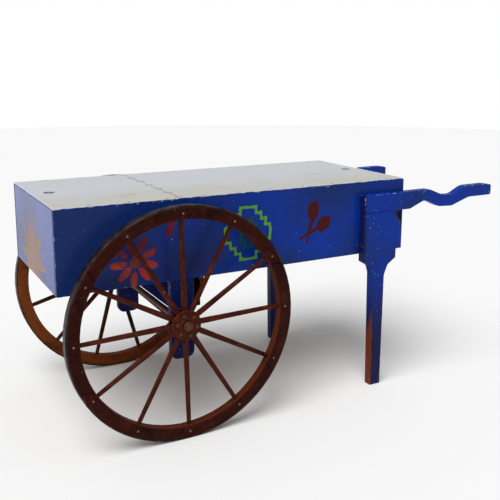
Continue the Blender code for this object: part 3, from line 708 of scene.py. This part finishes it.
class CART_OT_paint_box(bpy.types.Operator):
    """Paint the box blue, with its marks"""

    bl_idname = "cart.paint_box"
    bl_label = "Paint the box"

    def execute(self, context):
        paint, sizes = context.scene.cart_paint, context.scene.cart_sizes
        # both side panels get painted shade towards their front end through drift
        along = (26.0, 1.0, 1.0)
        # the left panel's last mark is painted shade and road grime round the wheel, with a black
        # painted shadow behind the bracket
        left = enamel("enamel_on_plywood_left", paint, sizes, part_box("side_panel_left"), along,
                      marks=(flower_mark, diamond_mark, sprig_mark, wheel_shade_and_dirt),
                      drift=(0.25, 1.25))
        wear(["side_panel_left"], left)
        right = enamel("enamel_on_plywood_right", paint, sizes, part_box("side_panel_right"), along,
                       drift=(0.25, 1.25))
        wear(["side_panel_right"], right)
        low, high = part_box("end_panel_front")
        front = enamel("enamel_on_plywood_front", paint, sizes, (low, high), (1.0, 1.0, 26.0),
                       # the first mark on this panel is painted glare, pale blue towards the top
                       marks=(painted_glare, star_mark), wear=0.9, shine=0.36)
        wear(["end_panel_front"], front)
        rear = enamel("enamel_on_plywood_rear", paint, sizes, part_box("end_panel_rear"),
                      (1.0, 26.0, 1.0), wear=0.6)
        wear(["end_panel_rear"], rear)
        inside = bare_plywood("birch_plywood", paint, paint.plywood)
        wear(["floor_panel", "deck_batten"], inside)
        tube = rusty_iron("mild_steel_tube", paint, paint.iron, 0.003, 0.8)
        wear(["post_socket_front", "post_socket_rear"], tube)
        return {"FINISHED"}


class CART_OT_paint_deck(bpy.types.Operator):
    """Paint the deck off-white, with its nail heads and stains"""

    bl_idname = "cart.paint_deck"
    bl_label = "Paint the deck"

    def execute(self, context):
        paint = context.scene.cart_paint
        front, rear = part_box("deck_panel_front"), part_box("deck_panel_rear")
        seam = (front[1].x + rear[0].x) / 2
        low = Vector(map(min, front[0], rear[0]))
        high = Vector(map(max, front[1], rear[1]))
        wear(["deck_panel_front", "deck_panel_rear"], deck_paint(paint, (low, high), seam))
        return {"FINISHED"}


class CART_OT_paint_running_gear(bpy.types.Operator):
    """Paint the hangers, bolster and axle"""

    bl_idname = "cart.paint_running_gear"
    bl_label = "Paint the running gear"

    def execute(self, context):
        paint, sizes = context.scene.cart_paint, context.scene.cart_sizes
        for side, _ in SIDES:
            node = "axle_hanger_" + side
            # painted shade under the box: deep=0.7 spreads the deep blue clouds over most of the
            # hanger, and the plum layer darkens it further
            wear([node], enamel("enamel_on_pine_hanger_" + side, paint, sizes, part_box(node),
                                (1.0, 1.0, 26.0), marks=(shade_under_box,), deep=0.7, wear=0.0,
                                shine=0.04))
        # painted shade under the box: the bolster is darkened the same way
        beam = enamel("enamel_on_beech_bolster", paint, sizes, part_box("bolster_beam"),
                      (1.0, 26.0, 1.0), marks=(shade_under_box, dark_end), deep=0.7, wear=0.0,
                      shine=0.0)
        wear(["bolster_beam"], beam)
        iron = rusty_iron("mild_steel_bar", paint, paint.brown_worn, 0.003, 0.8)
        wear(["axle"], iron)
        nut = rusty_iron("brown_painted_steel_nut", paint, paint.brown_worn, 0.003, 0.5)
        wear(["axle_nut_left", "axle_nut_right"], nut)
        return {"FINISHED"}


class CART_OT_paint_handles(bpy.types.Operator):
    """Paint the handles and legs"""

    bl_idname = "cart.paint_handles"
    bl_label = "Paint the handles and legs"

    def execute(self, context):
        paint, sizes = context.scene.cart_paint, context.scene.cart_sizes
        for side, _ in SIDES:
            handle, leg = "handle_" + side, "leg_" + side
            wear([handle], enamel("enamel_on_pine_handle_" + side, paint, sizes,
                                  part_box(handle), (26.0, 1.0, 1.0), marks=(darker_front_end,),
                                  deep=0.25, wear=0.8))
            marks = (darker_front_end, darker_foot) + ((worn_edge,) if side == "left" else ())
            wear([leg], enamel("enamel_on_pine_leg_" + side, paint, sizes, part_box(leg),
                               (1.0, 1.0, 26.0), marks=marks, wear=0.15))
        return {"FINISHED"}


class CART_OT_paint_wheels(bpy.types.Operator):
    """Paint the wheels brown and leave the tyres iron"""

    bl_idname = "cart.paint_wheels"
    bl_label = "Paint the wheels"

    def execute(self, context):
        paint = context.scene.cart_paint
        low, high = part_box("tyre_left")
        middle = (low + high) / 2
        centre = (middle.x, 0.0, middle.z)
        rim = brown_oil_paint("oil_paint_on_ash_felloe", paint, centre, (24.0, 1.0, 1.0),
                              ((RIM_INNER, 0.004), (RIM_OUTER, 0.005)), light=0.22)
        spoke = brown_oil_paint("oil_paint_on_ash_spoke", paint, centre, (1.0, 24.0, 1.0), (),
                                light=0.6, base=paint.spoke_brown)
        hub = brown_oil_paint("oil_paint_on_elm_hub", paint, centre, (1.0, 1.0, 8.0),
                              ((HUB_DISC, 0.004), (HUB_BOSS, 0.003)), light=0.35,
                              base=paint.spoke_brown)
        # the far wheel's rims get a lighter copy of the rim paint: painted light, as if the sun
        # fell on that wheel, with a little more rubbed wear
        sunlit = brown_oil_paint("sunlit_oil_paint_on_ash", paint, centre, (24.0, 1.0, 1.0),
                                   ((RIM_INNER, 0.006), (RIM_OUTER, 0.006)), light=0.3,
                                   base=paint.brown_sunlit)
        band = rusty_iron("worn_iron_band", paint, paint.iron, 0.004, 0.1)
        for side, rims in (("left", rim), ("right", sunlit)):
            wear([f"felloe_{side}_{i + 1}" for i in range(FELLOES)], rims)
            wear([f"spoke_{side}_{i + 1:02d}" for i in range(SPOKES)], spoke)
            wear(["hub_" + side], hub)
            wear(["tyre_" + side], band)
        return {"FINISHED"}


class CART_OT_add_nails(bpy.types.Operator):
    """Add the nails of the box and the screws of the handles and legs"""

    bl_idname = "cart.add_nails"
    bl_label = "Add nails and screws"

    def execute(self, context):
        paint, sizes = context.scene.cart_paint, context.scene.cart_sizes
        coat = enamel("enamel_over_steel_heads", paint, sizes, CAD_BOX, (1.0, 1.0, 1.0))
        r, h = sizes.nail_radius, sizes.nail_height
        nail = turned([(r, -0.3 * h), (r, 0.4 * h), (0.8 * r, 0.8 * h), (0.35 * r, h)], 10)
        r, h = sizes.screw_radius, 2.2 * sizes.nail_height
        screw = turned([(r, -0.3 * h), (r, 0.3 * h), (0.85 * r, 0.75 * h), (0.4 * r, h)], 16)
        for side, sign in SIDES:
            low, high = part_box("side_panel_" + side)
            face = high.y if sign > 0 else low.y
            out = (0.0, sign, 0.0)
            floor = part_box("floor_panel")
            height = (floor[0].z + floor[1].z) / 2
            count = int((high.x - low.x - 2 * NAIL_END) / (2 * sizes.nail_pitch))
            ends = (low.x + NAIL_END, high.x - NAIL_END)
            runs = [(x, height) for x in np.linspace(*ends, count)]
            for node in ("end_panel_front", "end_panel_rear"):
                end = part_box(node)
                middle = (end[0].x + end[1].x) / 2
                rows = int((high.z - low.z - 2 * NAIL_TOP) / sizes.nail_pitch)
                ends = (low.z + NAIL_FOOT, high.z - NAIL_TOP)
                runs += [(middle, z) for z in np.linspace(*ends, rows)]
            points, faces = repeated(nail, [facing((x, face, z), out) for x, z in runs])
            piece("box_nails_" + side, points, faces, coat, "cart", smooth=True)
            low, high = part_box("handle_" + side)
            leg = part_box("leg_" + side)
            face = high.y if sign > 0 else low.y
            middle = low.z + 0.047
            spots = [(low.x + 0.035, middle - 0.018), (low.x + 0.165, middle + 0.018),
                     (low.x + 0.035, middle + 0.020), (low.x + 0.165, middle - 0.022)]
            spots += [(leg[0].x + 0.040, leg[1].z - 0.035), (leg[1].x - 0.045, leg[1].z - 0.050),
                      (leg[0].x + 0.050, leg[1].z - 0.120), (leg[1].x - 0.060, leg[1].z - 0.125)]
            points, faces = repeated(screw, [facing((x, face, z), out) for x, z in spots])
            piece("board_screws_" + side, points, faces, coat, "cart", smooth=True)
        return {"FINISHED"}


class CART_OT_add_wheel_fittings(bpy.types.Operator):
    """Add the rim plugs, hub bolts, axle pins and hanger bolts"""

    bl_idname = "cart.add_wheel_fittings"
    bl_label = "Add wheel fittings"

    def execute(self, context):
        paint, sizes = context.scene.cart_paint, context.scene.cart_sizes
        zinc = rusty_iron("zinc_plated_bolt_steel", paint, paint.steel, 0.002, 0.8)
        brown = rusty_iron("brown_painted_bolt_steel", paint, paint.brown_worn, 0.002, 0.8)
        wood = bare_plywood("end_grain_ash_plug", paint, paint.plug)
        # painted shade under the box: the plum layer darkens these bolt heads
        dark = enamel("enamel_over_hanger_bolts", paint, sizes, CAD_BOX, (1.0, 1.0, 1.0),
                      marks=(shade_under_box,), wear=0.0)
        low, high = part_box("tyre_left")
        middle = (low + high) / 2
        r = sizes.plug_radius
        plug = turned([(r, -0.0006), (r, 0.0003), (0.85 * r, 0.0007), (0.3 * r, 0.0008)], 12)
        b = sizes.bolt_radius
        washer = turned([(1.25 * b, -0.0003), (1.25 * b, 0.0010), (1.15 * b, 0.0014)], 24)
        head = turned([(b, 0.0012), (b, 0.0050), (0.86 * b, 0.0060)], 24, hexagon=True)
        pin = turned([(0.0016, -0.0095), (0.0021, -0.009), (0.0021, 0.009), (0.0016, 0.0095)], 12)
        for side, sign in SIDES:
            body, out = "wheel_" + side, (0.0, sign, 0.0)
            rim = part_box("tyre_" + side)
            plane = (rim[0].y + rim[1].y) / 2
            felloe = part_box(f"felloe_{side}_1")
            face = felloe[1].y if sign > 0 else felloe[0].y
            boxes = [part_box(f"spoke_{side}_{i + 1:02d}") for i in range(SPOKES)]
            mids = [(a + b) / 2 - middle for a, b in boxes]
            angles = [math.atan2(m.z, m.x) for m in mids]
            ring = [(middle.x + RIM_MIDDLE * math.cos(a), face,
                     middle.z + RIM_MIDDLE * math.sin(a)) for a in angles]
            points, faces = repeated(plug, [facing(spot, out) for spot in ring])
            piece("rim_plugs_" + side, points, faces, wood, body, smooth=True)
            first = angles[0] + BOLT_START
            turn = 2 * math.pi / sizes.bolt_count
            places = [facing((middle.x + sizes.bolt_circle * math.cos(first + turn * i),
                              plane + sign * sizes.flange_face,
                              middle.z + sizes.bolt_circle * math.sin(first + turn * i)),
                             out, spin=BOLT_TWIST * i) for i in range(sizes.bolt_count)]
            points, faces = repeated(washer, places)
            piece("hub_washers_" + side, points, faces, brown, body)
            points, faces = repeated(head, places)
            piece("hub_bolts_" + side, points, faces, brown, body)
            axle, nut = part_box("axle"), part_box("axle_nut_" + side)
            tip = axle[1].y if sign > 0 else axle[0].y
            outer = nut[1].y if sign > 0 else nut[0].y
            points, faces = repeated(pin, [facing((middle.x, (tip + outer) / 2, middle.z),
                                                  (0.6, 0.0, 0.8))])
            piece("axle_pin_" + side, points, faces, zinc, "cart")
            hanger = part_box("axle_hanger_" + side)
            face = hanger[1].y if sign > 0 else hanger[0].y
            top = hanger[1].z
            mid = (hanger[0].x + hanger[1].x) / 2
            spots = [(mid - 0.022, top - 0.035), (mid + 0.022, top - 0.035),
                     (mid, top - 0.078)]
            points, faces = repeated(head, [facing((x, face - sign * 0.0012, z), out, spin=0.3)
                                            for x, z in spots])
            piece("hanger_bolts_" + side, points, faces, dark, "cart")
        return {"FINISHED"}


class CART_OT_set_stage(bpy.types.Operator):
    """Set the floor, the light and the camera"""

    bl_idname = "cart.set_stage"
    bl_label = "Set the stage"

    def execute(self, context):
        scene = context.scene
        stage = scene.cart_stage
        angle = np.linspace(0.0, 2 * math.pi, FLOOR_SIDES, endpoint=False)
        rim = np.stack([FLOOR_REACH * np.cos(angle), FLOOR_REACH * np.sin(angle), 0.0 * angle],
                       axis=-1)
        mesh = bpy.data.meshes.new("studio_floor")
        mesh.from_pydata(rim.tolist(), [], [list(range(FLOOR_SIDES))])
        floor = bpy.data.objects.new("studio_floor", mesh)
        scene.collection.objects.link(floor)
        material, tree, place = start("matt_studio_vinyl")
        clouds = grain(tree, place, 0.9, detail=3.0)
        share = add(tree, MATH, {0: clouds, 1: 0.10}, operation="MULTIPLY")
        colour = blend(tree, stage.floor, stage.floor_shade, share)
        close(tree, colour, 0.75, clouds, 0.0002, Specular_IOR_Level=0.2)
        mesh.materials.append(material)

        world = bpy.data.worlds.new("studio_surround")
        world.use_nodes = True
        tree = world.node_tree
        tree.nodes.clear()
        lighting = add(tree, "ShaderNodeBackground", {"Color": (0.80, 0.80, 0.80, 1.0),
                                                        "Strength": stage.sky})
        backdrop = add(tree, "ShaderNodeBackground", {"Color": (1.0, 1.0, 1.0, 1.0),
                                                        "Strength": stage.backdrop})
        seen = add(tree, "ShaderNodeLightPath", out="Is Camera Ray")
        mixed = add(tree, "ShaderNodeMixShader", {0: seen, 1: lighting, 2: backdrop})
        tree.links.new(mixed, tree.nodes.new("ShaderNodeOutputWorld").inputs["Surface"])
        scene.world = world

        light = bpy.data.lights.new("key_light", "SUN")
        light.energy = stage.key
        light.angle = stage.softness
        made = bpy.data.objects.new("key_light", light)
        made.location = KEY_PLACE
        made.rotation_euler = Vector(KEY_DIRECTION).to_track_quat("-Z", "Y").to_euler()
        scene.collection.objects.link(made)

        camera = bpy.data.cameras.new("camera")
        camera.sensor_width = SENSOR_WIDTH
        camera.lens = stage.lens
        camera.shift_y = stage.shift
        camera.clip_end = 100.0
        seen = bpy.data.objects.new("camera", camera)
        yaw, pitch, roll = stage.yaw, stage.pitch, stage.roll
        ahead = Vector((math.sin(yaw) * math.cos(pitch), math.cos(yaw) * math.cos(pitch),
                        math.sin(pitch)))
        right = Vector((math.cos(yaw), -math.sin(yaw), 0.0))
        above = right.cross(ahead)
        side = math.cos(roll) * right + math.sin(roll) * above
        up = math.cos(roll) * above - math.sin(roll) * right
        turn = Matrix((side, up, -ahead)).transposed()
        seen.matrix_world = Matrix.Translation(stage.eye) @ turn.to_4x4()
        scene.collection.objects.link(seen)
        scene.camera = seen
        scene.view_settings.view_transform = "Standard"
        return {"FINISHED"}


class CART_PT_panel(bpy.types.Panel):
    """The cart's steps, in the 3D view's sidebar"""

    bl_label = "Garden cart"
    bl_idname = "CART_PT_panel"
    bl_space_type = "VIEW_3D"
    bl_region_type = "UI"
    bl_category = "Garden cart"

    def draw(self, context):
        for operator in OPERATORS:
            self.layout.operator(operator.bl_idname)
        for group in ("cart_paint", "cart_sizes", "cart_stage"):
            box = self.layout.box()
            values = getattr(context.scene, group)
            for name in values.__annotations__:
                box.prop(values, name)


GROUPS = (("cart_paint", CartPaint), ("cart_sizes", CartSizes), ("cart_stage", CartStage))
OPERATORS = (CART_OT_paint_box, CART_OT_paint_deck, CART_OT_paint_running_gear,
             CART_OT_paint_handles, CART_OT_paint_wheels, CART_OT_add_nails,
             CART_OT_add_wheel_fittings, CART_OT_set_stage)


def register():
    """Registers the property groups, operators and panel."""
    for name, group in GROUPS:
        bpy.utils.register_class(group)
        setattr(bpy.types.Scene, name, PointerProperty(type=group))
    for operator in OPERATORS:
        bpy.utils.register_class(operator)
    bpy.utils.register_class(CART_PT_panel)


def unregister():
    """Takes the same classes out again, in the opposite order."""
    bpy.utils.unregister_class(CART_PT_panel)
    for operator in reversed(OPERATORS):
        bpy.utils.unregister_class(operator)
    for name, group in reversed(GROUPS):
        delattr(bpy.types.Scene, name)
        bpy.utils.unregister_class(group)


def main():
    """Runs every step in order."""
    register()
    for operator in OPERATORS:
        group, step = operator.bl_idname.split(".")
        getattr(getattr(bpy.ops, group), step)()


if __name__ == "__main__":
    main()
